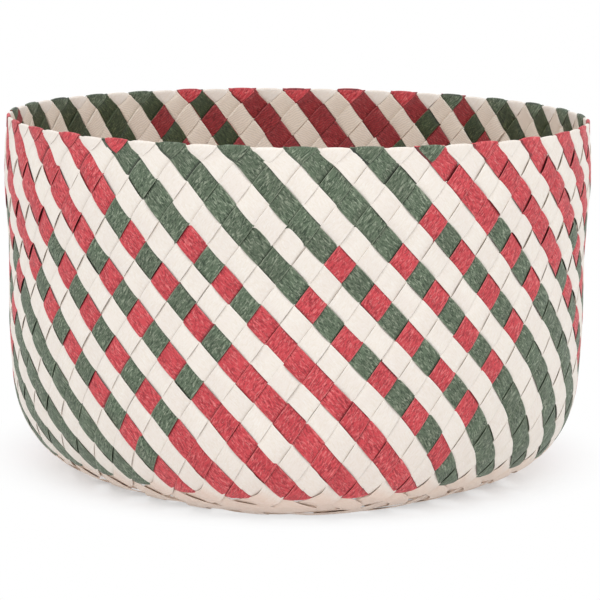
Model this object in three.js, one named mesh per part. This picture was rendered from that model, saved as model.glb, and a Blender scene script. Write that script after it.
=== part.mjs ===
// Round basket plaited on the bias from sixty flat straps, in millimetres, +Z up, standing on z = 0.
// In the wall, cream and coloured straps lean both ways in turn. Each coloured strap is one piece,
// folded into a V at the heel. The cream straps cross the base in an open weave and climb the wall
// at both ends.
import * as THREE from "three";

// Driving dimensions of the form
const height = 191;
const rimRadius = 150;
const heelRadius = 147.5;
const heelHeight = 12;
const heelRounding = 28;
const baseFlatRadius = 97;
const baseRounding = 14;
const heelSquareness = 0.07;
const squarenessStart = 70;

// Driving dimensions of the straps
const strapPitch = 12.1;
const strapWidth = 11.2;
const strapThickness = 0.4;
const layerGap = 0.6;
const baseWeaveRise = 1.4;
const hemLength = 11;
const strapEndSetback = 3;
const crestRounding = 0.8;
const restingFlat = 8;
const cornerSetback = 15.8;

// Counts of the weave
const pairs = 30;
const heelLevel = 18;
const cornerLevel = heelLevel + 1;
const wallStations = [1.5, 4, 6.5, 9, 11.5, 13.5, 15, 16, 17, 17.5, 18, 18.5];
const colourRun = 5;
const colourStart = 2;
const plaitTwist = 6.4;
const twistBend = 1.3;

const cream = { color: 0xf0eae2, roughness: 0.55, metalness: 0 };
const red = { color: 0xd64e5a, roughness: 0.5, metalness: 0 };
const green = { color: 0x647d66, roughness: 0.5, metalness: 0 };

// Layers of the wall, outwards from its middle surface. In this order each crossing shows the colour
// that the plaiting brings to the outside there.
const layer = strapThickness + layerGap;
const hemLayer = -3 * layer;
const creamRising = -1.5 * layer;
const colouredFalling = -0.5 * layer;
const colouredRising = 0.5 * layer;
const creamFalling = 1.5 * layer;

const degree = Math.PI / 180;
const strapStep = (2 * Math.PI) / (2 * pairs);
const levelTurn = strapStep / 2;
const frontTurn = 0.4 * degree;
const halfThickness = strapThickness / 2;
const baseFloor = baseWeaveRise + halfThickness;
const crestHeight = height - strapThickness - crestRounding;

// The profile of the wall's middle surface, from the rim down the wall and across the base
const heelCorner = new THREE.Vector2(heelRadius, heelHeight);
const baseCorner = new THREE.Vector2(baseFlatRadius, baseFloor);
const rimPoint = new THREE.Vector2(rimRadius, crestHeight);
const towards = (from, to, length) => to.clone().sub(from).setLength(length).add(from);
const profile = new THREE.Path();
profile.moveTo(rimPoint.x, rimPoint.y);
for (const [corner, before, after, rounding] of [
  [heelCorner, rimPoint, baseCorner, heelRounding],
  [baseCorner, heelCorner, new THREE.Vector2(0, baseFloor), baseRounding],
]) {
  const start = towards(corner, before, rounding);
  const end = towards(corner, after, rounding);
  profile.lineTo(start.x, start.y);
  profile.quadraticCurveTo(corner.x, corner.y, end.x, end.y);
}
profile.lineTo(0, baseFloor);
profile.arcLengthDivisions = 2000;
const profileLength = profile.getLength();

// Radius, height and outward normal of the profile at a length down from the crest
function profileAt(length) {
  const share = Math.min(Math.max(length / profileLength, 0), 1);
  const point = profile.getPointAt(share);
  const tangent = profile.getTangentAt(share);
  const above = Math.max(-length, 0);
  return { radius: point.x, height: point.y + above, out: -tangent.y, up: tangent.x };
}

// Length down the profile at which the base has a radius
function lengthAtRadius(radius) {
  let low = heelStart;
  let high = profileLength;
  for (let i = 0; i < 30; i++) {
    const middle = (low + high) / 2;
    if (profileAt(middle).radius > radius) low = middle;
    else high = middle;
  }
  return (low + high) / 2;
}
const heelStart = crestHeight - heelHeight - heelRounding;

// The heel is a little square, with its corners to the front, back and sides
function squareShrink(turn, length) {
  const share = THREE.MathUtils.smoothstep(length, squarenessStart, heelStart + heelRounding);
  return 1 - (heelSquareness * share * (1 - Math.cos(4 * turn))) / 2;
}

// A point of the basket: turn from the front, length down from the crest, and offset outwards
function surfacePoint(turn, length, offset) {
  const at = profileAt(length);
  const radius = (at.radius + offset * at.out) * squareShrink(turn, length);
  return new THREE.Vector3(radius * Math.sin(turn), -radius * Math.cos(turn), at.height + offset * at.up);
}

// Straps lean away from the meridian so that their pitch stays the same where the wall narrows
const leanAt = (radius) => Math.acos(Math.min(strapPitch / (radius * strapStep), 0.999));
const heelTable = [0];
const tableStep = 0.1;
for (let level = 0; level < cornerLevel + 4; level += tableStep) {
  const length = heelTable[heelTable.length - 1];
  const { radius } = profileAt(length);
  const lean = leanAt(Math.max(radius, heelRadius * 0.93));
  heelTable.push(length + (radius * levelTurn * tableStep) / Math.tan(lean));
}

// Length down from the crest at a level, where level n is a strap's nth crossing from the rim
function lengthAtLevel(level) {
  const place = level / tableStep;
  const index = Math.min(Math.floor(place), heelTable.length - 2);
  return THREE.MathUtils.lerp(heelTable[index], heelTable[index + 1], place - index);
}

// The plait is twisted to the right on its way down, more and more towards the heel
const heelTwist = plaitTwist * degree;
const twistAt = (level) => heelTwist * Math.pow(level / heelLevel, twistBend);
const twistRate = (level) => (twistBend * heelTwist * Math.pow(level / heelLevel, twistBend - 1)) / heelLevel;

// Four corners of a strap's section. Their order is kept along the whole strap: the side edges are
// given along the surface, and the two faces by their offsets.
function section(turn, length, edge, plusOffset, minusOffset, plusShift = [0, 0]) {
  const { radius } = profileAt(length);
  const corner = (side, shift, offset) => {
    const across = side * edge[0] + shift[0];
    const down = side * edge[1] + shift[1];
    return surfacePoint(turn + across / radius, length + down, offset);
  };
  const minusShift = [-plusShift[0], -plusShift[1]];
  return [
    corner(1, plusShift, plusOffset),
    corner(-1, plusShift, plusOffset),
    corner(-1, minusShift, minusOffset),
    corner(1, minusShift, minusOffset),
  ];
}
const swapEdges = ([a, b, c, d]) => [b, a, d, c];
const swapFaces = ([a, b, c, d]) => [d, c, b, a];

// An arm climbs the wall. It is listed from the rim down to the heel. Falling arms turn to the right
// as they go down outside, rising arms to the left.
function armPlace(arm, level) {
  const length = lengthAtLevel(level);
  const untwisted = leanAt(Math.max(profileAt(length).radius, heelRadius * 0.93));
  const lean = Math.atan(Math.tan(untwisted) * (1 + (arm.side * twistRate(level)) / levelTurn));
  const turn = arm.turn + arm.side * level * levelTurn + twistAt(level);
  return { length, lean, turn };
}

function straightSection(arm, level, offset) {
  const { length, lean, turn } = armPlace(arm, level);
  const half = strapWidth / 2;
  const edge = [half * Math.cos(lean), -arm.side * half * Math.sin(lean)];
  return section(turn, length, edge, offset + halfThickness, offset - halfThickness);
}

// A level cut across an arm, as at its end under the rim
function levelCut(arm, level, offset) {
  const { length, lean, turn } = armPlace(arm, level);
  const edge = [strapWidth / 2 / Math.cos(lean), 0];
  return section(turn, length, edge, offset + halfThickness, offset - halfThickness);
}

// Where a falling and a rising arm meet, their edges cross on the line of the fold
function foldEdge(fallingLean, risingLean) {
  const reach = strapWidth / 2 / Math.cos((fallingLean + risingLean) / 2);
  const tilt = (fallingLean - risingLean) / 2;
  return [reach * Math.cos(tilt), -reach * Math.sin(tilt)];
}

// A strap folded back on itself: below is 1 at the heel and -1 at the rim
function foldSections(turn, length, edge, from, to, below, rounding) {
  const outwards = Math.sign(to - from);
  const leg = (offset, towardsOther) => {
    const inner = section(turn, length, edge, offset + towardsOther * halfThickness, 0);
    const outer = section(turn, length + below * strapThickness, edge, offset - towardsOther * halfThickness, 0);
    return [inner, outer];
  };
  const crown = () => {
    const middle = (from + to) / 2;
    const inner = section(turn, length + below * rounding, edge, middle, 0);
    const outer = section(turn, length + below * (strapThickness + rounding), edge, middle, 0);
    return [inner, outer];
  };
  const legs = [leg(from, outwards), ...(rounding > 0 ? [crown()] : []), leg(to, -outwards)];
  const plusIsInner = outwards > 0;
  return legs.map(([inner, outer]) => {
    const [plus, minus] = plusIsInner ? [inner, outer] : [outer, inner];
    return [plus[0], plus[1], minus[1], minus[0]];
  });
}

function straightArm(arm, lastLevel) {
  const levels = wallStations.filter((level) => level <= lastLevel);
  return levels.map((level) => straightSection(arm, level, arm.offset));
}

// Falling arms end just under the rim, below the folded rising straps
function fallingArm(arm, lastLevel) {
  const endLevel = strapEndSetback / lengthAtLevel(1);
  return [levelCut(arm, endLevel, arm.offset), ...straightArm(arm, lastLevel)];
}

// Rising arms fold over the rim, with a hem down the inside
function rimHem(arm) {
  const lean = leanAt(rimRadius);
  const half = strapWidth / 2;
  const turn = arm.turn + (hemLength * Math.tan(lean)) / rimRadius;
  const edge = [half * Math.cos(lean), -half * Math.sin(lean)];
  const end = section(turn, hemLength, edge, hemLayer - halfThickness, hemLayer + halfThickness);
  const fold = foldSections(arm.turn, 0, foldEdge(lean, lean), hemLayer, arm.offset, -1, crestRounding);
  return [end, ...fold.map(swapFaces)];
}

function risingArm(arm, lastLevel) {
  return [...rimHem(arm), ...straightArm(arm, lastLevel)];
}

// A closed strap through its sections, with its two ends capped. Both faces are split along the
// diagonal that bulges out the more, so that they stay parallel and follow the round basket.
const middle = new THREE.Vector3(0, 0, height / 2);
function strapGeometry(sections) {
  const positions = [];
  const addTriangle = (...corners) => corners.forEach((p) => positions.push(p.x, p.y, p.z));
  const addQuad = (a, b, c, d) => {
    addTriangle(a, b, c);
    addTriangle(a, c, d);
  };
  const bulge = (p, q) => p.clone().add(q).multiplyScalar(0.5).distanceTo(middle);
  for (let i = 0; i + 1 < sections.length; i++) {
    const [a, b, c, d] = sections[i];
    const [e, f, g, h] = sections[i + 1];
    if (bulge(a, f) + bulge(d, g) > bulge(b, e) + bulge(c, h)) {
      addQuad(a, b, f, e);
      addQuad(d, h, g, c);
    } else {
      addQuad(b, f, e, a);
      addQuad(c, d, h, g);
    }
    addQuad(b, c, g, f);
    addQuad(d, a, e, h);
  }
  const [a, b, c, d] = sections[0];
  const [e, f, g, h] = sections[sections.length - 1];
  addQuad(d, c, b, a);
  addQuad(e, f, g, h);
  const geometry = new THREE.BufferGeometry();
  geometry.setAttribute("position", new THREE.Float32BufferAttribute(positions, 3));
  geometry.computeVertexNormals();
  return geometry;
}

const basket = new THREE.Group();
let triangles = 0;
function addStrap(name, sections, finish) {
  const geometry = strapGeometry(sections);
  triangles += geometry.getAttribute("position").count / 3;
  const mesh = new THREE.Mesh(geometry, new THREE.MeshStandardMaterial(finish));
  mesh.name = name;
  basket.add(mesh);
}
const numbered = (kind, index) => kind + "_" + String(index).padStart(2, "0");

// The coloured straps: a falling arm, the fold at the heel and a rising arm
const counts = { red: 0, green: 0 };
const heelTurn = heelLevel * levelTurn;
for (let v = 0; v < pairs; v++) {
  const apex = frontTurn + (v + 0.5) * 2 * strapStep;
  const falling = { turn: apex - heelTurn, side: 1, offset: colouredFalling };
  const rising = { turn: apex + heelTurn, side: -1, offset: colouredRising };
  const { length, lean, turn } = armPlace(falling, heelLevel);
  const edge = foldEdge(lean, armPlace(rising, heelLevel).lean);
  const fold = foldSections(turn, length, edge, colouredFalling, colouredRising, 1, 0);
  const lastStation = heelLevel - 0.5;
  const sections = [
    ...fallingArm(falling, lastStation),
    ...fold,
    ...risingArm(rising, lastStation).reverse().map(swapFaces),
  ];
  const isGreen = Math.floor((v - colourStart + pairs) / colourRun) % 2 === 0;
  const kind = isGreen ? "green" : "red";
  counts[kind] += 1;
  addStrap(numbered(kind + "_strap", counts[kind]), sections, isGreen ? green : red);
}

// The cream straps cross at the heel in pairs, one falling and one rising arm at each
const quarter = Math.floor(pairs / 4);
const half = pairs / 2;
const pairTurn = (m) => frontTurn + heelTwist + m * 2 * strapStep;
const edgeCrossing = (i, j) => (i * j < 0 ? quarter + 1 : quarter);
const isEdge = (i, j) => Math.abs(i) + Math.abs(j) === edgeCrossing(i, j);
const isInside = (i, j) => Math.abs(i) + Math.abs(j) < edgeCrossing(i, j);

// Which heel pair a crossing at the edge of the base is
function pairOf(i, j) {
  if (i >= 0 && j >= 0) return i;
  if (j < 0 && i > 0) return half - i;
  if (i <= 0 && j <= 0) return half - i;
  return pairs + i;
}

// Crossings of the base settle where each is the mean of its four neighbours, clear of the folds
// at the corners
const crossings = new Map();
const keyOf = (i, j) => i + "," + j;
const heelLength = lengthAtLevel(heelLevel);
const heelCircle = profileAt(heelLength).radius;
const cornerReach = heelCircle - cornerSetback;
const onDisc = (turn, radius) => new THREE.Vector2(radius * Math.sin(turn), -radius * Math.cos(turn));
for (let i = -half; i <= half; i++) {
  for (let j = -half; j <= half; j++) {
    if (isEdge(i, j)) crossings.set(keyOf(i, j), onDisc(pairTurn(pairOf(i, j)), heelCircle));
    if (isInside(i, j)) crossings.set(keyOf(i, j), new THREE.Vector2());
  }
}
const neighbours = [[1, 0], [-1, 0], [0, 1], [0, -1]];
for (let round = 0; round < 400; round++) {
  for (let i = -quarter; i <= quarter; i++) {
    for (let j = -quarter; j <= quarter; j++) {
      if (!isInside(i, j)) continue;
      const mean = new THREE.Vector2();
      for (const [di, dj] of neighbours) mean.add(crossings.get(keyOf(i + di, j + dj)));
      const nextToCorner = Math.max(Math.abs(i), Math.abs(j)) === quarter - 1;
      mean.divideScalar(neighbours.length);
      crossings.set(keyOf(i, j), nextToCorner ? mean.clampLength(0, cornerReach) : mean);
    }
  }
}

// A section of a strap on the base, from its place and direction on the disc
function baseSection(place, direction, widening, offset) {
  const edge = new THREE.Vector2(direction.y, -direction.x).multiplyScalar((strapWidth / 2) * widening);
  const corner = (side, faceOffset) => {
    const point = place.clone().addScaledVector(edge, side);
    return surfacePoint(Math.atan2(point.x, -point.y), lengthAtRadius(point.length()), faceOffset);
  };
  const plus = offset + halfThickness;
  const minus = offset - halfThickness;
  return [corner(1, plus), corner(-1, plus), corner(-1, minus), corner(1, minus)];
}

// The stretch of a cream strap over the base, weaving under and over at each crossing
function baseSections(cells, outsideWhen, middleIsFlat) {
  const places = cells.map(([i, j]) => crossings.get(keyOf(i, j)));
  const sections = [];
  for (let k = 1; k + 1 < cells.length; k++) {
    const before = places[k].clone().sub(places[k - 1]).normalize();
    const after = places[k + 1].clone().sub(places[k]).normalize();
    const direction = before.clone().add(after).normalize();
    const widening = 1 / before.dot(direction);
    const [i, j] = cells[k];
    const outside = Math.abs(i + j) % 2 === outsideWhen;
    const offset = outside ? baseWeaveRise : -baseWeaveRise;
    if (middleIsFlat && outside && places[k].length() < baseFlatRadius) {
      for (const along of [-restingFlat / 2, restingFlat / 2]) {
        const place = places[k].clone().addScaledVector(direction, along);
        sections.push(baseSection(place, direction, widening, offset));
      }
    } else {
      sections.push(baseSection(places[k], direction, widening, offset));
    }
  }
  return sections;
}

// An arm of cream from the rim to the heel, ready to run on over the base
function creamArm(pair, isFalling, lastLevel) {
  const side = isFalling ? 1 : -1;
  const offset = isFalling ? creamFalling : creamRising;
  const arm = { turn: pairTurn(pair) - heelTwist - side * heelTurn, side, offset };
  return isFalling ? fallingArm(arm, lastLevel) : risingArm(arm, lastLevel);
}
const reversed = (sections) => sections.reverse().map(swapEdges);

// A strap at a corner of the base is too short to cross it. Past the heel its two arms steer
// together, and it is folded like the coloured ones.
function cornerSections(fallingPair) {
  const risingPair = fallingPair + 1;
  const apex = (pairTurn(fallingPair) + pairTurn(risingPair)) / 2;
  const length = lengthAtLevel(cornerLevel);
  const lean = Math.atan((heelCircle * strapStep) / (length - heelLength));
  const steered = (pair, side, offset) => {
    const edge = [(strapWidth / 2) * Math.cos(lean), -side * (strapWidth / 2) * Math.sin(lean)];
    const turn = (pairTurn(pair) + apex) / 2;
    return section(turn, (heelLength + length) / 2, edge, offset + halfThickness, offset - halfThickness);
  };
  const falling = [...creamArm(fallingPair, true, heelLevel), steered(fallingPair, 1, creamFalling)];
  const rising = [...creamArm(risingPair, false, heelLevel), steered(risingPair, -1, creamRising)];
  const fold = foldSections(apex, length, foldEdge(lean, lean), creamFalling, creamRising, 1, 0);
  return [...falling, ...fold, ...rising.reverse().map(swapFaces)];
}

for (let index = -quarter; index <= quarter; index++) {
  const name = numbered("cream_lengthwise", index + quarter + 1);
  if (Math.abs(index) === quarter) {
    addStrap(name, cornerSections(pairOf(index, 0)), cream);
    continue;
  }
  const cells = [];
  for (let j = half; j >= -half; j--) {
    if (isInside(index, j) || isEdge(index, j)) cells.push([index, j]);
  }
  const start = creamArm(pairOf(...cells[0]), index >= 0, heelLevel + 1);
  const end = creamArm(pairOf(...cells[cells.length - 1]), index <= 0, heelLevel + 1);
  addStrap(name, [...start, ...baseSections(cells, 0, index === 0), ...reversed(end)], cream);
}
for (let index = -quarter; index <= quarter; index++) {
  const name = numbered("cream_crosswise", index + quarter + 1);
  if (Math.abs(index) === quarter) {
    addStrap(name, cornerSections(index > 0 ? pairs - 1 : half - 1), cream);
    continue;
  }
  const cells = [];
  for (let i = half; i >= -half; i--) {
    if (isInside(i, index) || isEdge(i, index)) cells.push([i, index]);
  }
  const start = creamArm(pairOf(...cells[0]), index < 0, heelLevel + 1);
  const end = creamArm(pairOf(...cells[cells.length - 1]), index > 0, heelLevel + 1);
  addStrap(name, [...start, ...baseSections(cells, 1, false), ...reversed(end)], cream);
}
console.log("straps " + basket.children.length + ", triangles " + triangles);
console.log("heel at " + heelLength.toFixed(1) + " mm down, radius " + heelCircle.toFixed(1));

export default basket;
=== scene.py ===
"""Dressed round basket, plaited on the bias from sixty flat straps that fold over the rim."""
import math

import bpy
import numpy as np
from mathutils import Matrix, Vector


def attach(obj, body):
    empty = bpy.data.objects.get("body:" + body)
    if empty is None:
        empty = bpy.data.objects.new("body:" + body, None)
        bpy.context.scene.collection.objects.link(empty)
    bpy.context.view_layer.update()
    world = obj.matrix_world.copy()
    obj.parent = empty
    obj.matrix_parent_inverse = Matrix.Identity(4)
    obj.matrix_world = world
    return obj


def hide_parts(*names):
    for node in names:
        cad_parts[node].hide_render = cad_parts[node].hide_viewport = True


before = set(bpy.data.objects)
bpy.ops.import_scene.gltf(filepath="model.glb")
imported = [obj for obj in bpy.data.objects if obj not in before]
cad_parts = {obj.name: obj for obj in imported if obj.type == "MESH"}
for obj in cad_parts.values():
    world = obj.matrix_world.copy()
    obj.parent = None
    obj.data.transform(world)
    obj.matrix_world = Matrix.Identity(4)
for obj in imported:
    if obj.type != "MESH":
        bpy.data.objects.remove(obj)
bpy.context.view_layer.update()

MM = 0.001

# Form of the basket, millimetres
CREST = 189.8
RIM_RADIUS = 150.0
HEEL_RADIUS = 151.0
HEEL_HEIGHT = 11.9
HEEL_ROUNDING = 43.4
BASE_FLAT = 95.3
BASE_ROUNDING = 13.1
BASE_FLOOR = 0.8
PROFILE_STEP = 0.25
ROUNDING_POINTS = 60
# further in than this radius the straps keep their lean and their width
LEAST_RADIUS = HEEL_RADIUS * 0.93
# the heel is a little square and a little narrower across than from front to back
SQUARENESS = 0.064
SQUARE_TURN = -0.038
SIDE_DRAW = 0.031
SIDE_TURN = -0.26
SQUARE_START = 96.0
# the wall swells a little under the rim and is drawn in a little below that
SWELL_AT = [0, 14, 30, 48, 66, 90, 112, 132, 148, 162, 175]
SWELL = [0.1, 0.9, 1.3, 0.5, -0.7, -0.5, -0.2, 0.0, 0.1, 0.1, 0.0]
SWELL_SMOOTHING = 61
# how far the plait is pushed up at lengths down from the crest, all round and towards the right
LIFT_AT = [0, 11, 50, 130, 172, 215]
LIFT = [0, 2.2, 1.25, 1.25, -3.6, 0]
LIFT_RIGHT = [0, -1.3, 2.8, 3.35, 0.8, 0]
LIFT_SMOOTHING = 33
LIFT_START = 9

# Lattice of the plait
# A path starts at the rim at its rim turn and leans to one side: 1 turns right on the way down
# (falling), -1 turns left (rising). Levels count the crossings down from the rim.
PAIRS = 30
HALF = PAIRS // 2
QUARTER = PAIRS // 4
HEEL_LEVEL = 18
LEVELS_PAST_HEEL = 5
# a cream strap's part on the wall ends just before its part over heel and base starts
JOIN = HEEL_LEVEL - 1.0
WALL_END = JOIN - 0.09
STEP = math.radians(6)
LEVEL_TURN = math.radians(3)
FRONT = math.radians(0.4)
TWIST = math.radians(6.4)
TWIST_BEND = 1.3
COLOUR_START = 2
COLOUR_RUN = 5
FIRST_ROW = 10.7
CORNER_SETBACK = 17.0
RELAXING_ROUNDS = 400

# Straps, millimetres
PITCH = 12.1
THICKNESS = 0.3
GAP = {1: -0.04, -1: 0.16}
SCALLOP = 0.06
HALF_BASE = 5.6
CROWN = 0.07
CROWN_GAIN = 1.6
WEAVE = 0.58
BASE_WEAVE = 0.5
STEEPNESS = 2.2
SIDE_BULGE = 0.55
# the tails of the arms lie on the paths that lean the other way
TAIL_END = {-1: 4.82, 1: 3.82}
TAIL_STEP = 0.36
TAIL_EXTRA = 0.18
TAIL_MARK = 50
COVERED_LESS = 0.1
COVERED_FADE = 0.6
COVERED_END = 4.6
# the wave of a rising arm's tail comes a little early under the other tail
TAIL_EARLY = 0.08
CREST_RAISE = 0.3
TAIL_CREST_RAISE = 0.38
FOLD_SAG = 0.3
FOLD_ROWS = 9
FOLD_REACH = 0.8
COLOURED_RISE = 0.45
RISE_SPREAD = 0.25
RISE_REACH = 1.2
# waves along a strap, each of a size and a rate
RIPPLES = ((0.04, 1.9), (0.03, 3.3))
SLACK_WAVES = ((0.16, 0.61), (0.1, 1.43))
# and the same for its width, as a share of it
WIDTH_WAVE = (0.008, 0.9)
CELL_STEP = 0.3
CELL_WIDTH = 0.14
MOST_CELL_WIDTH = 0.12
CELL_COUNT = 40
SLACK_FADE = 1.5
SLACK_SEED = 7000
SLACK_SEED_SIDE = 100
COLOURED_SEED = 100
LENGTHWISE_SEED = 300
CROSSWISE_SEED = 400
RIB_TURN = math.radians(25)
RIB_PITCH = 1.25
# places of the points across a strap, and of its rows within a level
ACROSS = np.array([-1.0, -0.93, -0.5, 0.0, 0.5, 0.93, 1.0])
MIDDLE = len(ACROSS) // 2
WITHIN = np.array([0.0, 0.2, 0.36, 0.43, 0.475, 0.525, 0.57, 0.64, 0.8])
LEAST_STEP = 0.03
BASE_ROWS = 10
# levels that guide a cream strap from the wall into the base, and between which the painted
# shade of the base comes in and the painted seam shade leaves off
GUIDE_LEVELS = [HEEL_LEVEL - n for n in (2, 1.5, 1, 0.5, 0)]
BASE_LOOK = (HEEL_LEVEL - 0.6, HEEL_LEVEL + 0.2)
# the arms of a corner strap meet at this level, and its rows turn level from a start over a run
APEX_LEVEL = HEEL_LEVEL + 1
APEX_START = HEEL_LEVEL + 0.3
APEX_RUN = 0.7
# levels between which something comes in or fades out
BULGE_IN = (0.7, 1.7)
BULGE_OUT = (5, 12)
RAISE_FADE = (-0.1, 0.6)
TAIL_RAISE_FADE = (0.25, 0.55)
EARLY_IN = (0.8, 1.2)
EARLY_OUT = (1.8, 2.2)
CREST_FADE = (0.42, 0.58)
# added to the place across on the underside, so that both sides have their own texture
BACK_SHIFT = 40
# how far out the direction away from the basket is probed
PROBE = 0.5


def smoothstep(x, low, high):
    t = np.clip((x - low) / (high - low), 0, 1)
    return t * t * (3 - 2 * t)


def smoothed(values, width):
    kernel = np.hanning(width) / np.hanning(width).sum()
    return np.convolve(np.pad(values, width // 2, mode="edge"), kernel, mode="valid")


def unit(vectors):
    return vectors / np.linalg.norm(vectors, axis=-1)[..., None]


def waves_along(parts, phases, along):
    return sum(size * np.sin(rate * along + phase) for (size, rate), phase in zip(parts, phases))


def near_turn(turns, reference, target):
    """Turns moved by whole rounds, so that their reference comes next to the target."""
    return turns + 2 * np.pi * np.round((target - reference) / (2 * np.pi))


# Middle surface
def towards(a, b, length):
    a, b = np.array(a, float), np.array(b, float)
    return a + (b - a) / np.linalg.norm(b - a) * length


def profile_points():
    """Radius and height from the crest down the wall, round the heel and to the base centre."""
    rim = (RIM_RADIUS, CREST)
    heel = (HEEL_RADIUS, HEEL_HEIGHT)
    base = (BASE_FLAT, BASE_FLOOR)
    centre = (0.0, BASE_FLOOR)
    points = [np.array(rim, float)]
    for corner, before, after, rounding in (
        (heel, rim, base, HEEL_ROUNDING),
        (base, heel, centre, BASE_ROUNDING),
    ):
        start, end = towards(corner, before, rounding), towards(corner, after, rounding)
        for t in np.linspace(0, 1, ROUNDING_POINTS):
            points.append((1 - t) ** 2 * start + 2 * t * (1 - t) * np.array(corner) + t * t * end)
    points.append(np.array(centre))
    return np.array(points)


# tables over the length S down from the crest: radius, height, outward direction and lift
profile = profile_points()
profile_run = np.concatenate([[0], np.cumsum(np.linalg.norm(np.diff(profile, axis=0), axis=1))])
PROFILE_LENGTH = profile_run[-1]
S = np.arange(0, PROFILE_LENGTH + PROFILE_STEP, PROFILE_STEP)
R_T = np.interp(S, profile_run, profile[:, 0])
R_T = R_T + smoothed(np.interp(S, SWELL_AT, SWELL), SWELL_SMOOTHING)
Z_T = np.interp(S, profile_run, profile[:, 1])
R_SLOPE, Z_SLOPE = np.gradient(R_T, S), np.gradient(Z_T, S)
OUT_T = -Z_SLOPE / np.hypot(R_SLOPE, Z_SLOPE)
UP_T = R_SLOPE / np.hypot(R_SLOPE, Z_SLOPE)
LIFT_T, LIFT_RIGHT_T = (
    smoothed(np.interp(S, LIFT_AT, lift), LIFT_SMOOTHING) * smoothstep(S, 0, LIFT_START)
    for lift in (LIFT, LIFT_RIGHT)
)


def radius_at(length):
    return np.interp(length, S, R_T)


def surface(turn, length, offset):
    """Points on the basket from turn, length down from the crest and offset outwards."""
    lift = np.interp(length, S, LIFT_T) + np.sin(turn) * np.interp(length, S, LIFT_RIGHT_T)
    length = length - lift
    above = np.maximum(-length, 0)
    share = smoothstep(length, SQUARE_START, CREST - HEEL_HEIGHT)
    square = (1 - np.cos(4 * (turn - SQUARE_TURN))) / 2
    sides = (1 - np.cos(2 * (turn - SIDE_TURN))) / 2
    shrink = 1 - share * (SQUARENESS * square + SIDE_DRAW * sides)
    r = (radius_at(length) + offset * np.interp(length, S, OUT_T)) * shrink
    z = np.interp(length, S, Z_T) + above + offset * np.interp(length, S, UP_T)
    return np.stack([r * np.sin(turn), -r * np.cos(turn), z], -1) * MM


# Paths of the plait
def lean_at(radius):
    return np.arccos(np.minimum(PITCH / (np.maximum(radius, LEAST_RADIUS) * STEP), 0.999))


def length_table():
    """Levels in tenths and their lengths down from the crest."""
    tenth = 0.1
    lengths = [0.0]
    for _ in np.arange(0, HEEL_LEVEL + LEVELS_PAST_HEEL, tenth):
        r = radius_at(lengths[-1])
        lengths.append(lengths[-1] + r * LEVEL_TURN * tenth / math.tan(lean_at(r)))
    return np.arange(len(lengths)) * tenth, np.array(lengths)


LEVELS_T, LENGTHS_T = length_table()


def length_at(level):
    return np.interp(level, LEVELS_T, LENGTHS_T)


def twist_at(level):
    return TWIST * (np.asarray(level, float) / HEEL_LEVEL) ** TWIST_BEND


def lean_of(level, side):
    """Lean away from the meridian, with the twist of the plait."""
    share = np.asarray(level, float) / HEEL_LEVEL
    rate = TWIST_BEND * TWIST / HEEL_LEVEL * share ** (TWIST_BEND - 1)
    lean = lean_at(radius_at(length_at(level)))
    return np.arctan(np.tan(lean) * (1 + side * rate / LEVEL_TURN))


def half_at(level, side):
    """Half the width of a strap, which fills its share of the round up to a small gap."""
    radius = np.maximum(radius_at(length_at(level)), LEAST_RADIUS)
    return radius * STEP * np.cos(lean_of(level, side)) / 2 - GAP[side]


def path_slack(side, rim_turn, levels):
    """Sideways slack and change of width of one path, the same for all that lies along it."""
    path = round((rim_turn - FRONT) / STEP) % (2 * PAIRS)
    rng = np.random.default_rng(SLACK_SEED + SLACK_SEED_SIDE * side + path)
    phases = rng.uniform(0, 2 * np.pi, 2)
    steps = rng.normal(0, CELL_STEP, CELL_COUNT)
    widths = rng.normal(0, CELL_WIDTH, CELL_COUNT)
    cell = np.rint(levels).astype(int)
    inside = np.clip(levels / FOLD_REACH, 0, 1) * np.clip((JOIN - levels) / SLACK_FADE, 0, 1)
    slack = waves_along(SLACK_WAVES, phases, levels) + steps[cell]
    return slack * inside, np.minimum(widths[cell], MOST_CELL_WIDTH) * inside


def flat_wave(level):
    """1 at even crossings and -1 at odd ones, flattened at both."""
    return np.tanh(STEEPNESS * np.cos(np.pi * level)) / math.tanh(STEEPNESS)


def bulge_at(turn, level):
    """How much deeper the weave is near the rim at the left and right sides."""
    near_rim = smoothstep(level, *BULGE_IN) * (1 - smoothstep(level, *BULGE_OUT))
    return SIDE_BULGE * np.sin(turn) ** 2 * near_rim


def crown_of(wave):
    """Straps are crowned away from those that they cross."""
    return CROWN * (1 - ACROSS[None] ** 2) * np.clip(wave * CROWN_GAIN, -1, 1)


def levels_between(low, high):
    """Levels from low to high, closer together where straps dive under their neighbours."""
    whole = np.arange(math.floor(low), math.ceil(high) + 1)
    every = (whole[:, None] + WITHIN[None]).reshape(-1)
    inner = every[(every > low + LEAST_STEP) & (every < high - LEAST_STEP)]
    return np.concatenate([[low], inner, [high]])


# Offsets and waves of what lies along a path. A wave is 1 outside and -1 inside.
def falling_height(level):
    wave = -flat_wave(level)
    return WEAVE * wave + CREST_RAISE * (1 - smoothstep(level, *RAISE_FADE)), wave


def rising_height(level):
    wave = flat_wave(level)
    return WEAVE * wave, wave


def falling_tail_height(level):
    """The end of a falling arm, folded out over the rim, lies on the rising path beneath it."""
    wave = flat_wave(np.maximum(level, 0))
    raised = TAIL_CREST_RAISE * (1 - smoothstep(level, *TAIL_RAISE_FADE))
    return WEAVE * wave + TAIL_STEP + raised, wave


def rising_tail_height(level):
    """The end of a rising arm lies on the falling path, under the other tail at the rim."""
    level_on_wall = np.maximum(level, 0)
    wave = -flat_wave(level_on_wall)
    early = TAIL_EARLY * smoothstep(level, *EARLY_IN) * (1 - smoothstep(level, *EARLY_OUT))
    offset = np.where(level < 1, WEAVE, WEAVE * wave) + TAIL_STEP
    return offset, -flat_wave(level_on_wall + early)


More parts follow.
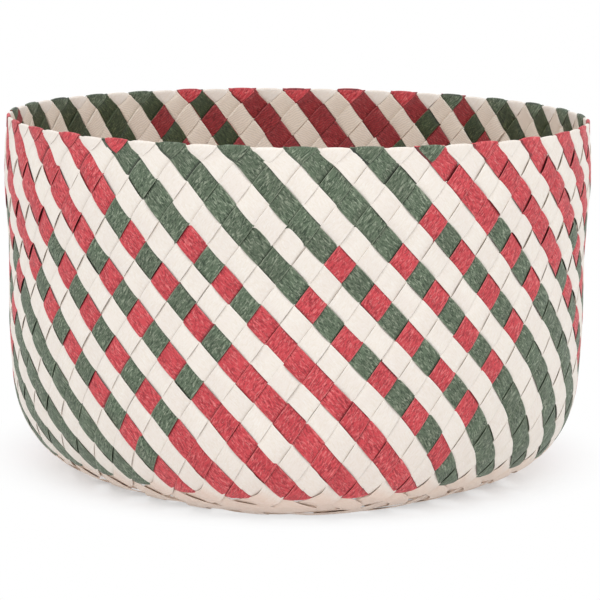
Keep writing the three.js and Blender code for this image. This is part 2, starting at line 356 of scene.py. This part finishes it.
# Sections of one strap
def closed_mesh(name, points):
    """Mesh round rows of points. Each row has those of the top side, then of the underside."""
    rows, ring, _ = points.shape
    cols = ring // 2
    here = np.concatenate([np.arange(cols), np.arange(ring - 1, cols - 1, -1)])
    after = np.roll(here, -1)
    row = (np.arange(rows - 1) * ring)[:, None]
    sides = np.stack([row + here, row + ring + here, row + ring + after, row + after], -1)
    first = np.array([(k, k + 1, cols + k + 1, cols + k) for k in range(cols - 1)])
    last = (rows - 1) * ring + first[:, ::-1]
    faces = np.concatenate([sides.reshape(-1, 4), first, last])
    mesh = bpy.data.meshes.new(name)
    mesh.vertices.add(rows * ring)
    mesh.vertices.foreach_set("co", points.reshape(-1).astype(np.float32))
    mesh.loops.add(faces.size)
    mesh.loops.foreach_set("vertex_index", faces.reshape(-1).astype(np.int32))
    mesh.polygons.add(len(faces))
    mesh.polygons.foreach_set("loop_start", np.arange(0, faces.size, 4, dtype=np.int32))
    mesh.update(calc_edges=True)
    mesh.polygons.foreach_set("use_smooth", np.ones(len(faces), bool))
    return mesh


def write_channels(mesh, name, top, underside):
    """Three channels as an attribute of the points, for the top side and for the underside."""
    sides = [np.stack(np.broadcast_arrays(*side), -1) for side in (top, underside)]
    values = np.concatenate(sides, axis=1).astype(np.float32)
    attribute = mesh.attributes.new(name, "FLOAT_VECTOR", "POINT")
    attribute.data.foreach_set("vector", values.reshape(-1))


class Ribbon:
    """Rows of points across one strap, from one end to the other.

    A row has turns, lengths, offsets, half widths, waves, shares of the base's painted shade and
    of the crest, and phases of the ribs."""

    def __init__(self, seed, rise=0.0):
        rng = np.random.default_rng(seed)
        self.seed = rng.random()
        # six phases are drawn and three of them used
        phases = rng.uniform(0, 2 * np.pi, 6)
        self.ripple_phases, self.width_phase = phases[2:4], phases[4]
        self.rise = rise + RISE_SPREAD * rng.uniform(-1, 1)
        self.rows = []
        self.waiting = None

    def ripple(self, along):
        return waves_along(RIPPLES, self.ripple_phases, along)

    def last_turn(self):
        return self.rows[-1][0][-1].mean()

    def add(self, turn, length, offset, *rest):
        """Adds rows, after the fold that waits for them, if any."""
        rows = (turn, length, offset) + tuple(np.broadcast_to(x, turn.shape) for x in rest)
        if self.waiting:
            below, sag, proud = self.waiting
            self.waiting = None
            before, after = [part[-1] for part in self.rows[-1]], [part[0] for part in rows]
            phi = np.linspace(0, np.pi, FOLD_ROWS)[1:-1, None]
            share = (1 - np.cos(phi)) / 2
            T, L, H, half, wave, *other = (
                b * (1 - share) + a * share for b, a in zip(before, after)
            )
            reach = np.abs(before[2] - after[2])[None] / 2 - sag * ACROSS[None] ** 2
            L = L + below * reach * np.sin(phi)
            self.rows.append((T, L, H, half, np.maximum(wave, proud), *other))
        self.rows.append(rows)

    def fold(self, below, sag=0.0, proud=-1.0):
        """The strap turns back here, below the line at the heel (1) or above the rim (-1)."""
        self.waiting = (below, sag, proud)

    def arm(self, rim_turn, side, levels, height, blend, tail=False, flip=False):
        """Along the wall. Sections run along the straps that cross this one, level at a fold."""
        covered = 1 - smoothstep(levels, TAIL_END[side] - COVERED_FADE, COVERED_END)
        half = half_at(levels, side) - SCALLOP * np.sin(np.pi * levels) ** 2
        half = half + (TAIL_EXTRA if tail else -COVERED_LESS * covered)
        half = half * (1 + WIDTH_WAVE[0] * np.sin(levels * WIDTH_WAVE[1] + self.width_phase))
        slide, wider = path_slack(side, rim_turn, levels)
        half = half + wider
        length = length_at(levels)
        r = radius_at(length)
        turn = rim_turn + side * levels * LEVEL_TURN + twist_at(levels) + slide / r
        # from the middle of a row to its edge: along the crossing straps, or level
        lean, other = lean_of(levels, side), lean_of(levels, -side)
        crossing = np.stack([np.sin(other), -side * np.cos(other)], -1)
        skew = (half / np.sin(lean + other))[:, None] * crossing
        tilt = side * (lean - other) / 2
        reach = half / np.cos((lean + other) / 2)
        level = np.stack([reach * np.cos(tilt), -reach * np.sin(tilt)], -1)
        edge = skew + blend[:, None] * (level - skew)
        other_pitch = np.maximum(r, LEAST_RADIUS) * STEP * np.cos(other)
        ahead = (side * edge[:, 0] * np.cos(other) + edge[:, 1] * np.sin(other)) / other_pitch
        u = -ACROSS if flip else ACROSS
        rise = self.rise * np.clip(1 - levels / RISE_REACH, 0, 1)
        T = turn[:, None] + u[None] * edge[:, :1] / r[:, None]
        L = length[:, None] + u[None] * edge[:, 1:] - rise[:, None]
        at = levels[:, None] + u[None] * ahead[:, None]
        offset, wave = height(at)
        offset = offset + wave * bulge_at(T, at)
        ripple = self.ripple(levels + (TAIL_MARK if tail else 0))
        H = offset + ripple[:, None] * (1 - blend)[:, None] + crown_of(wave)
        rib = L * math.cos(RIB_TURN) - side * T * r[:, None] * math.sin(RIB_TURN)
        # near the crest the inner side gets no painted shade
        crest = 1 - smoothstep(at, *CREST_FADE)
        self.add(T, L, H, half[:, None], wave, 0.0, crest, rib / RIB_PITCH)

    def plane_rows(self, places, levels, offsets, waves, half, blend=None):
        """Rows over heel and base, through places in the unrolled plane round the base centre."""
        ahead = unit(np.gradient(places, axis=0))
        half = np.broadcast_to(half, len(places))[:, None]
        edge = np.stack([ahead[:, 1], -ahead[:, 0]], -1) * half
        if blend is not None:
            outward = unit(places)
            sideways = np.stack([-outward[:, 1], outward[:, 0]], -1)
            run = np.sum(edge * sideways, axis=1)
            flat = sideways * (np.sum(edge * edge, axis=1) / run)[:, None]
            edge = edge + blend[:, None] * (flat - edge)
        points = places[:, None, :] + ACROSS[None, :, None] * edge[:, None, :]
        T = np.arctan2(points[..., 0], -points[..., 1])
        L = PROFILE_LENGTH - np.linalg.norm(points, axis=-1)
        H = (offsets + self.ripple(levels))[:, None] + crown_of(waves[:, None])
        return T, L, H, half, waves[:, None]

    def build(self, name, material):
        T, L, H, half, wave, base, crest, rib = (
            np.concatenate(parts) for parts in zip(*self.rows)
        )
        P = surface(T, L, H)
        N = unit(np.cross(np.gradient(P, axis=0), np.gradient(P, axis=1)))
        top, underside = P + N * THICKNESS * MM / 2, P - N * THICKNESS * MM / 2
        mesh = closed_mesh(name, np.concatenate([top, underside], axis=1))
        steps = np.linalg.norm(np.diff(P[:, MIDDLE], axis=0), axis=1)
        run = np.concatenate([[0], np.cumsum(steps)])[:, None] / MM
        across = ACROSS[None] * half
        write_channels(
            mesh, "strap", (across, run, self.seed), (across + BACK_SHIFT, run, self.seed))
        outward = unit(surface(T, L, H + PROBE) - P)
        facing = np.sum(N * outward, axis=-1)
        # a mask of painted shade in the seams: low where the side in view dives under the crossing
        # straps, 1 at folds and over the base
        top_seam_shade_mask, underside_seam_shade_mask = (
            np.maximum(1 - np.abs(facing) * (1 - sign * np.sign(facing) * wave), 2 * base - 1)
            for sign in (1, -1)
        )
        from_middle = np.abs(ACROSS)[None]
        # channels: distance from the middle for the wear of the edges, the mask of painted seam
        # shade, and facing with the crest, which masks the painted shade of the inner side
        write_channels(
            mesh, "wear_and_painted_shade", (from_middle, top_seam_shade_mask, facing + 2 * crest),
            (from_middle, underside_seam_shade_mask, 2 * crest - facing))
        write_channels(mesh, "place", (rib, base, 0.0), (rib, base, 0.0))
        mesh.materials.append(material)
        mesh.validate()
        piece = bpy.data.objects.new(name, mesh)
        bpy.context.scene.collection.objects.link(piece)
        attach(piece, "root")
        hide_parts(name.replace("plait_", ""))


def wall_run(ribbon, rim_turn, side, end, height, down, flip, tail=False, heel_fold=False):
    levels = levels_between(0, end)
    blend = np.clip(1 - levels / FOLD_REACH, 0, 1)
    if heel_fold:
        blend = np.maximum(blend, np.clip(1 - (HEEL_LEVEL - levels) / FOLD_REACH, 0, 1))
    if not down:
        levels, blend = levels[::-1], blend[::-1]
    ribbon.arm(rim_turn, side, levels, height, blend, tail, flip)


def rim_end(ribbon, rim_turn, falling, down, flip=False):
    """Tail and fold of an arm at the rim. Where down is False they come before the arm."""
    side = -1 if falling else 1
    height = falling_tail_height if falling else rising_tail_height
    sag = FOLD_SAG if falling else 0.0
    if down:
        ribbon.fold(-1, sag, 1.0)
    wall_run(ribbon, rim_turn, side, TAIL_END[side], height, down, flip, tail=True)
    if not down:
        ribbon.fold(-1, sag, 1.0)


def wall_arm(ribbon, rim_turn, falling, last, down, heel_fold=False, flip=False):
    side = 1 if falling else -1
    height = falling_height if falling else rising_height
    wall_run(ribbon, rim_turn, side, last, height, down, flip, heel_fold=heel_fold)


# Crossings of the base
# Crossing (i, j) lies on the i-th lengthwise and the j-th crosswise cream strap. At an edge
# crossing, which lies on the heel, a pair of cream straps comes down from the wall.
AROUND = ((1, 0), (-1, 0), (0, 1), (0, -1))
HEEL_LENGTH = float(length_at(HEEL_LEVEL))
HEEL_RHO = PROFILE_LENGTH - HEEL_LENGTH


def pair_turn(m):
    return FRONT + TWIST + m * 2 * STEP


def edge_reach(i, j):
    return QUARTER + 1 if i * j < 0 else QUARTER


def is_edge(i, j):
    return abs(i) + abs(j) == edge_reach(i, j)


def is_inside(i, j):
    return abs(i) + abs(j) < edge_reach(i, j)


def pair_of(i, j):
    """Number of the pair that comes down at an edge crossing."""
    if i >= 0 and j >= 0:
        return i
    if j < 0 < i or i <= 0 and j <= 0:
        return HALF - i
    return PAIRS + i


def on_plane(turn, rho):
    return np.stack([rho * np.sin(turn), -rho * np.cos(turn)], -1)


def base_crossings():
    """Places in the plane, relaxed between the heel and the first row inside it."""
    found = {}
    for i in range(-HALF, HALF + 1):
        for j in range(-HALF, HALF + 1):
            if is_edge(i, j):
                found[i, j] = on_plane(pair_turn(pair_of(i, j)), HEEL_RHO)
            elif is_inside(i, j):
                found[i, j] = np.zeros(2)
    around = {(i, j): [(i + di, j + dj) for di, dj in AROUND] for i, j in found}
    first_row = {}
    for cell in found:
        outer = [found[c] for c in around[cell] if is_inside(*cell) and is_edge(*c)]
        if len(outer) == 2:
            centre = outer[0] + outer[1]
            first_row[cell] = centre / np.linalg.norm(centre) * (HEEL_RHO - FIRST_ROW)
    found.update(first_row)
    free = [cell for cell in found if is_inside(*cell) and cell not in first_row]
    for _ in range(RELAXING_ROUNDS):
        for cell in free:
            mean = sum(found[c] for c in around[cell]) / 4
            if max(abs(cell[0]), abs(cell[1])) == QUARTER - 1:
                reach = (HEEL_RHO - CORNER_SETBACK) / max(np.linalg.norm(mean), 1e-9)
                mean = mean * min(1, reach)
            found[cell] = mean
    return found


crossings = base_crossings()


def spline(points, params, wanted):
    """Catmull-Rom through points at increasing parameters."""
    points, params = np.asarray(points, float), np.asarray(params, float)
    slopes = np.gradient(points, params, axis=0)
    index = np.clip(np.searchsorted(params, wanted, side="right") - 1, 0, len(params) - 2)
    gap = (params[index + 1] - params[index])[:, None]
    t = ((wanted - params[index]) / gap[:, 0])[:, None]
    start = (2 * t**3 - 3 * t**2 + 1) * points[index]
    leaving = (t**3 - 2 * t**2 + t) * (slopes[index] * gap)
    end = (-2 * t**3 + 3 * t**2) * points[index + 1]
    arriving = (t**3 - t**2) * (slopes[index + 1] * gap)
    return start + leaving + end + arriving


# The two kinds of strap
def rim_turn_of(pair, falling):
    return pair_turn(pair) - TWIST - (1 if falling else -1) * HEEL_LEVEL * LEVEL_TURN


def arm_places(pair, falling, levels):
    side = 1 if falling else -1
    turn = rim_turn_of(pair, falling) + side * np.asarray(levels) * LEVEL_TURN + twist_at(levels)
    return on_plane(turn, PROFILE_LENGTH - length_at(levels))


def cream_whole(ribbon, cells, start_falling, end_falling):
    """Down the wall, through the crossings of the base in cells and up the wall again."""
    start_pair, end_pair = pair_of(*cells[0]), pair_of(*cells[-1])
    inner = [crossings[c] for c in cells[1:-1]]
    last = HEEL_LEVEL + len(inner) + 1
    whole = last + HEEL_LEVEL
    points = np.concatenate([
        arm_places(start_pair, start_falling, GUIDE_LEVELS),
        np.array(inner),
        arm_places(end_pair, end_falling, GUIDE_LEVELS)[::-1],
    ])
    params = (GUIDE_LEVELS + [HEEL_LEVEL + k + 1 for k in range(len(inner))]
              + [whole - n for n in reversed(GUIDE_LEVELS)])
    wall_part = levels_between(JOIN, HEEL_LEVEL)
    base_part = np.linspace(HEEL_LEVEL, last, BASE_ROWS * (last - HEEL_LEVEL) + 1)[1:-1]
    levels = np.concatenate([wall_part, base_part, whole - wall_part[::-1]])
    nearness = np.minimum(levels, whole - levels)
    deep = smoothstep(nearness, HEEL_LEVEL, HEEL_LEVEL + 1)
    waves = (-1 if start_falling else 1) * flat_wave(levels)
    offsets = (WEAVE + (BASE_WEAVE - WEAVE) * deep) * waves
    falling = np.where(levels < whole / 2, start_falling, end_falling)
    middle = np.where(falling, half_at(nearness, 1), half_at(nearness, -1))
    border = middle - SCALLOP * np.sin(np.pi * nearness) ** 2
    half = np.where(nearness < HEEL_LEVEL, border, middle + (HALF_BASE - middle) * deep)
    start_turn = rim_turn_of(start_pair, start_falling)
    end_turn = rim_turn_of(end_pair, end_falling)
    rim_end(ribbon, start_turn, start_falling, False)
    wall_arm(ribbon, start_turn, start_falling, WALL_END, True)
    T, *rest = ribbon.plane_rows(spline(points, params, levels), levels, offsets, waves, half)
    T = near_turn(T, T[:, MIDDLE : MIDDLE + 1], ribbon.last_turn())
    ribbon.add(T, *rest, smoothstep(nearness, *BASE_LOOK)[:, None], 0.0, 0.0)
    wall_arm(ribbon, end_turn, end_falling, WALL_END, False, flip=True)
    rim_end(ribbon, end_turn, end_falling, True, flip=True)


def cream_corner(ribbon, falling_pair):
    """Too short to cross the base: past the heel the arms steer together and the strap folds."""
    rising_pair = falling_pair + 1
    apex = (pair_turn(falling_pair) + pair_turn(rising_pair)) / 2
    length = float(length_at(APEX_LEVEL))
    levels = levels_between(JOIN, APEX_LEVEL)
    base = smoothstep(levels, *BASE_LOOK)[:, None]
    blend = np.clip((levels - APEX_START) / APEX_RUN, 0, 1)

    def half_way(pair, falling):
        mid_rho = PROFILE_LENGTH - (HEEL_LENGTH + length) / 2
        mid = on_plane((pair_turn(pair) + apex) / 2, mid_rho)
        tip = on_plane(apex, PROFILE_LENGTH - length)
        points = np.concatenate([arm_places(pair, falling, GUIDE_LEVELS), [mid, tip]])
        places = spline(points, GUIDE_LEVELS + [APEX_LEVEL - 0.5, APEX_LEVEL], levels)
        waves = (-1 if falling else 1) * flat_wave(levels)
        return ribbon.plane_rows(places, levels, WEAVE * waves, waves, HALF_BASE, blend)

    falling_turn = rim_turn_of(falling_pair, True)
    rising_turn = rim_turn_of(rising_pair, False)
    rim_end(ribbon, falling_turn, True, False)
    wall_arm(ribbon, falling_turn, True, WALL_END, True)
    T, *rest = half_way(falling_pair, True)
    T = near_turn(T, T[:, MIDDLE : MIDDLE + 1], ribbon.last_turn())
    ribbon.add(T, *rest, base, 0.0, 0.0)
    T, *rest = (part[::-1] for part in half_way(rising_pair, False))
    T = near_turn(T, T[0].mean(), ribbon.last_turn())
    ribbon.fold(1)
    ribbon.add(T, *rest, base[::-1], 0.0, 0.0)
    wall_arm(ribbon, rising_turn, False, WALL_END, False)
    rim_end(ribbon, rising_turn, False, True)


def coloured(ribbon, apex):
    """Two arms, folded into a V at the heel."""
    falling_turn = apex - HEEL_LEVEL * LEVEL_TURN
    rising_turn = apex + HEEL_LEVEL * LEVEL_TURN
    rim_end(ribbon, falling_turn, True, False)
    wall_arm(ribbon, falling_turn, True, HEEL_LEVEL, True, heel_fold=True)
    ribbon.fold(1)
    wall_arm(ribbon, rising_turn, False, HEEL_LEVEL, False, heel_fold=True)
    rim_end(ribbon, rising_turn, False, True)


# Materials
# noises of a strap: rates per millimetre across and along, and over the seeds of the straps,
# then detail, roughness and distortion
NOISES = {
    "fine": ((1.35, 0.42, 311.0), 2.0, 0.6, 0.7),
    "streak": ((1.25, 0.36, 97.0), 3.0, 0.65, 0.8),
    "patch": ((0.2, 0.12, 53.0), 2.0, 0.5, 0.0),
    "cell": ((0.01, 0.085, 17.0), 1.0, 0.5, 0.0),
    "bend": ((0.22, 0.3, 71.0), 2.0, 0.5, 0.0),
    "seam": ((0.01, 0.13, 29.0), 1.0, 0.5, 0.0),
}
# from and to which value each of them, and the edge, changes the colour, and up to what share
SHARES = {
    "fine": (0.38, 0.54, 1.0),
    "streak": (0.5, 0.68, 0.85),
    "patch": (0.4, 0.7, 0.3),
    "cell": (0.4, 0.62, 0.8),
    "edge": (0.9, 1.0, 0.4),
}
# values between which ribs rise, the inner side and its painted shade begin, the painted shade of
# the seams varies and the gloss changes
RIDGE = (-0.4, 1.0)
INNER_SIDE = (0.3, -0.3)
SEAM_VARIES = (0.36, 0.62)
SEAM_LEAST = 0.25
SEAM_FULL = -0.35
GLOSS = (0.35, 0.7)
CELL_TINT = (0.88, 0.84, 0.85, 1)
# tint of painted shade over heel and base
BASE_SHADE_TINT = (0.96, 0.86, 0.81, 1)
RIB_BEND = 2.2
ROUGHNESS = 0.5
ROUGHNESS_SPREAD = 0.08
FINE_RELIEF = 0.00016
STREAK_RELIEF = 0.00035


def srgb(r, g, b):
    def linear(c):
        c = c / 255
        return c / 12.92 if c <= 0.04045 else ((c + 0.055) / 1.055) ** 2.4
    return (linear(r), linear(g), linear(b), 1.0)


def add_node(tree, kind, inputs=None, **settings):
    """One node. An input is a value or the output of another node."""
    node = tree.nodes.new(kind)
    for name, value in settings.items():
        setattr(node, name, value)
    for socket, value in (inputs or {}).items():
        if isinstance(value, bpy.types.NodeSocket):
            tree.links.new(value, node.inputs[socket])
        else:
            node.inputs[socket].default_value = value
    return node


def strap_material(name, dark, middle, light, shade, recess_shade, seam_start, inner, rib_valley_shade, relief):
    """Flat strap with fine crinkled lines along it, paler streaks, rubbed edges and soft gloss.

    Its inner side is ribbed, with painted shade in the valleys of the ribs and a tint of painted
    shade over the whole side, and painted shade darkens it where it dives under others."""
    material = bpy.data.materials.new(name)
    material.use_nodes = True
    tree = material.node_tree
    strap = add_node(tree, "ShaderNodeAttribute", attribute_name="strap").outputs["Vector"]

    def noise(kind):
        rates, detail, rough, distortion = NOISES[kind]
        place = add_node(
            tree, "ShaderNodeVectorMath", {0: strap, 1: rates}, operation="MULTIPLY")
        return add_node(tree, "ShaderNodeTexNoise", {
            "Vector": place.outputs["Vector"], "Scale": 1.0, "Detail": detail,
            "Roughness": rough, "Distortion": distortion}).outputs["Fac"]

    def ramp(value, low, high, to_low=0.0, to_high=1.0):
        return add_node(tree, "ShaderNodeMapRange", {
            "Value": value, "From Min": low, "From Max": high,
            "To Min": to_low, "To Max": to_high}, interpolation_type="SMOOTHSTEP").outputs["Result"]

    def share(value, kind, factor=1.0):
        low, high, most = SHARES[kind]
        return ramp(value, low, high, 0.0, most * factor)

    def mix(factor, a, b):
        return add_node(
            tree, "ShaderNodeMix", {0: factor, 6: a, 7: b}, data_type="RGBA").outputs[2]

    def tinted(colour, tint):
        return add_node(
            tree, "ShaderNodeMix", {0: 1.0, 6: colour, 7: tint}, data_type="RGBA",
            blend_type="MULTIPLY").outputs[2]

    def math_node(operation, *values):
        return add_node(
            tree, "ShaderNodeMath", dict(enumerate(values)), operation=operation).outputs[0]

    def channels(attribute):
        vector = add_node(tree, "ShaderNodeAttribute", attribute_name=attribute).outputs["Vector"]
        return add_node(tree, "ShaderNodeSeparateXYZ", {0: vector}).outputs

    def bump(height, distance, below):
        return add_node(tree, "ShaderNodeBump", {
            "Strength": relief, "Distance": distance, "Height": height, **below}).outputs["Normal"]

    edge, seam_shade_mask, facing = channels("wear_and_painted_shade")
    rib, base, _ = channels("place")
    fine, streak = noise("fine"), noise("streak")
    # fibres, streaks, worn edges and a tone for each cell
    colour = mix(share(fine, "fine"), dark, middle)
    colour = mix(share(streak, "streak"), colour, light)
    colour = mix(share(noise("patch"), "patch"), colour, middle)
    colour = mix(share(noise("cell"), "cell", relief), colour, tinted(colour, CELL_TINT))
    colour = mix(share(edge, "edge"), colour, light)
    # ribs of the inner side, drawn as painted shade in their valleys, and a tint of painted shade
    # over the inner side
    bent = math_node("ADD", rib, math_node("MULTIPLY", noise("bend"), RIB_BEND))
    ridge = ramp(math_node("SINE", math_node("MULTIPLY", bent, 2 * math.pi)), *RIDGE)
    ribbed = mix(ridge, tinted(colour, (rib_valley_shade, rib_valley_shade, rib_valley_shade, 1)), colour)
    colour = mix(ramp(facing, *INNER_SIDE), colour, tinted(ribbed, inner))
    # a darker, pinker tint of painted shade over heel and base
    colour = mix(base, colour, tinted(colour, BASE_SHADE_TINT))
    # painted shade in the seams, where a strap dives under those that cross it, stronger or weaker
    # along it
    strength = ramp(noise("seam"), *SEAM_VARIES, SEAM_LEAST, 1.0)
    painted_seam_shade = math_node("MULTIPLY", strength, ramp(seam_shade_mask, seam_start, SEAM_FULL, 0.0, recess_shade))
    colour = mix(painted_seam_shade, colour, shade)
    crinkle = bump(streak, STREAK_RELIEF, {"Normal": bump(fine, FINE_RELIEF, {})})
    shader = tree.nodes["Principled BSDF"]
    rough = ramp(streak, *GLOSS, ROUGHNESS + ROUGHNESS_SPREAD, ROUGHNESS - ROUGHNESS_SPREAD)
    for output, socket in ((colour, "Base Color"), (rough, "Roughness"), (crinkle, "Normal")):
        tree.links.new(output, shader.inputs[socket])
    return material


# the inner tint is painted shade over the inner side, and the rib factor is painted shade in the
# valleys of its ribs
looks = {
    "cream": strap_material(
        "cream_strap", dark=srgb(239, 230, 218), middle=srgb(243, 235, 226),
        light=srgb(247, 242, 235), shade=srgb(206, 192, 178), recess_shade=0.22, seam_start=0.3,
        inner=(1.0, 0.95, 0.89, 1), rib_valley_shade=0.87, relief=0.3),
    "red": strap_material(
        "red_strap", dark=srgb(160, 34, 46), middle=srgb(212, 67, 76),
        light=srgb(242, 136, 135), shade=srgb(80, 16, 22), recess_shade=0.9, seam_start=0.55,
        inner=(0.6, 0.43, 0.43, 1), rib_valley_shade=0.66, relief=1.0),
    "green": strap_material(
        "green_strap", dark=srgb(48, 66, 46), middle=srgb(93, 110, 87),
        light=srgb(164, 175, 152), shade=srgb(26, 34, 26), recess_shade=0.9, seam_start=0.55,
        inner=(0.43, 0.47, 0.29, 1), rib_valley_shade=0.7, relief=1.0),
}

# The sixty straps
counts = {"red": 0, "green": 0}
for v in range(PAIRS):
    kind = "green" if ((v - COLOUR_START + PAIRS) // COLOUR_RUN) % 2 == 0 else "red"
    counts[kind] += 1
    ribbon = Ribbon(COLOURED_SEED + v, COLOURED_RISE)
    coloured(ribbon, FRONT + (v + 0.5) * 2 * STEP)
    ribbon.build("plait_%s_strap_%02d" % (kind, counts[kind]), looks[kind])


def cream(family, index, seed, corner_pair, line, start_falling, end_falling):
    """A cream strap along a line of crossings, or round a corner where it is the outermost."""
    ribbon = Ribbon(seed + index)
    if abs(index) == QUARTER:
        cream_corner(ribbon, corner_pair)
    else:
        cells = [cell for cell in line if is_inside(*cell) or is_edge(*cell)]
        cream_whole(ribbon, cells, start_falling, end_falling)
    name = "plait_cream_%s_%02d" % (family, index + QUARTER + 1)
    ribbon.build(name, looks["cream"])


BACKWARDS = range(HALF, -HALF - 1, -1)
for index in range(-QUARTER, QUARTER + 1):
    line = [(index, j) for j in BACKWARDS]
    corner = pair_of(index, 0)
    cream("lengthwise", index, LENGTHWISE_SEED, corner, line, index >= 0, index <= 0)

for index in range(-QUARTER, QUARTER + 1):
    line = [(i, index) for i in BACKWARDS]
    corner = PAIRS - 1 if index > 0 else HALF - 1
    cream("crosswise", index, CROSSWISE_SEED, corner, line, index < 0, index > 0)

# Floor, light and camera
FLOOR_CORNERS = [(-14, -8, 0), (14, -8, 0), (14, 14, 0), (-14, 14, 0)]
FLOOR_DROP = 0.0002
FLOOR_COLOUR = (0.93, 0.93, 0.93, 1)
# the floor fades to white between these distances from this place, behind the basket's middle
FADE_CENTRE = (0, 0.05, 0)
FADE = (0.09, 0.18)
WORLD_LIGHT = 0.78
WHITE = (1, 1, 1, 1)


def is_seen(tree):
    """1 for rays of the camera, mirrored or passed through as well, and 0 for those of light."""
    ray = add_node(tree, "ShaderNodeLightPath").outputs
    seen = ray["Is Camera Ray"]
    for kind in ("Is Transmission Ray", "Is Glossy Ray"):
        either = add_node(tree, "ShaderNodeMath", {0: seen, 1: ray[kind]}, operation="MAXIMUM")
        seen = either.outputs[0]
    return seen


def floor_material():
    material = bpy.data.materials.new("studio_floor")
    material.use_nodes = True
    tree = material.node_tree
    tree.nodes.clear()
    spot = add_node(tree, "ShaderNodeNewGeometry").outputs["Position"]
    distance = add_node(
        tree, "ShaderNodeVectorMath", {0: spot, 1: FADE_CENTRE}, operation="DISTANCE")
    far = add_node(tree, "ShaderNodeMapRange", {
        "Value": distance.outputs["Value"], "From Min": FADE[0], "From Max": FADE[1],
    }, interpolation_type="SMOOTHSTEP")
    white_share = add_node(
        tree, "ShaderNodeMath", {0: is_seen(tree), 1: far.outputs["Result"]}, operation="MULTIPLY")
    diffuse = add_node(tree, "ShaderNodeBsdfDiffuse", {"Color": FLOOR_COLOUR})
    white = add_node(tree, "ShaderNodeEmission", {"Strength": 1.0})
    mixed = add_node(tree, "ShaderNodeMixShader", {
        0: white_share.outputs[0], 1: diffuse.outputs[0], 2: white.outputs[0]})
    add_node(tree, "ShaderNodeOutputMaterial", {0: mixed.outputs[0]})
    return material


floor_mesh = bpy.data.meshes.new("studio_floor")
floor_mesh.from_pydata(FLOOR_CORNERS, [], [(0, 1, 2, 3)])
floor_mesh.materials.append(floor_material())
floor = bpy.data.objects.new("studio_floor", floor_mesh)
floor.location.z = -FLOOR_DROP
bpy.context.scene.collection.objects.link(floor)

world = bpy.data.worlds.new("studio")
world.use_nodes = True
world_tree = world.node_tree
world_tree.nodes.clear()
soft = add_node(world_tree, "ShaderNodeBackground", {"Color": WHITE, "Strength": WORLD_LIGHT})
bright = add_node(world_tree, "ShaderNodeBackground", {"Color": WHITE, "Strength": 1.0})
chosen = add_node(world_tree, "ShaderNodeMixShader", {
    0: is_seen(world_tree), 1: soft.outputs[0], 2: bright.outputs[0]})
add_node(world_tree, "ShaderNodeOutputWorld", {0: chosen.outputs[0]})
bpy.context.scene.world = world


def soft_box(name, location, target, size, power):
    light = bpy.data.lights.new(name, "AREA")
    light.shape = "RECTANGLE"
    light.size, light.size_y = size
    light.energy = power
    lamp = bpy.data.objects.new(name, light)
    lamp.location = location
    direction = np.array(target) - np.array(location)
    lamp.rotation_euler = Vector(direction).to_track_quat("-Z", "Y").to_euler()
    bpy.context.scene.collection.objects.link(lamp)


soft_box("key", (-1.2, -1.1, 1.2), (0, 0, 0.1), (1.2, 1.2), 4.6)
soft_box("fill", (1.3, -1.0, 0.9), (0, 0, 0.1), (1.0, 1.0), 3.7)
soft_box("over", (0, -0.34, 0.82), (0, 0.14, 0.14), (0.8, 0.3), 1.5)

# focal length and shifts of the camera in pixels of a picture 600 wide
PICTURE = 600
FOCAL_PIXELS = 2763
SHIFT_PIXELS = (4.0, 15.4)
SENSOR = 36
CAMERA_PLACE = (0, -1.4406, 0.3367)
LOOKS_DOWN = 0.1734
CAMERA_ROLL = 0.0116
camera_data = bpy.data.cameras.new("camera")
camera_data.sensor_width = SENSOR
camera_data.lens = FOCAL_PIXELS / PICTURE * SENSOR
camera_data.shift_x = SHIFT_PIXELS[0] / PICTURE
camera_data.shift_y = SHIFT_PIXELS[1] / PICTURE
camera = bpy.data.objects.new("camera", camera_data)
camera.matrix_world = (
    Matrix.Translation(CAMERA_PLACE)
    @ Matrix.Rotation(math.radians(90) - LOOKS_DOWN, 4, "X")
    @ Matrix.Rotation(CAMERA_ROLL, 4, "Z")
)
bpy.context.scene.collection.objects.link(camera)
bpy.context.scene.camera = camera

bpy.context.scene.view_settings.view_transform = "Standard"
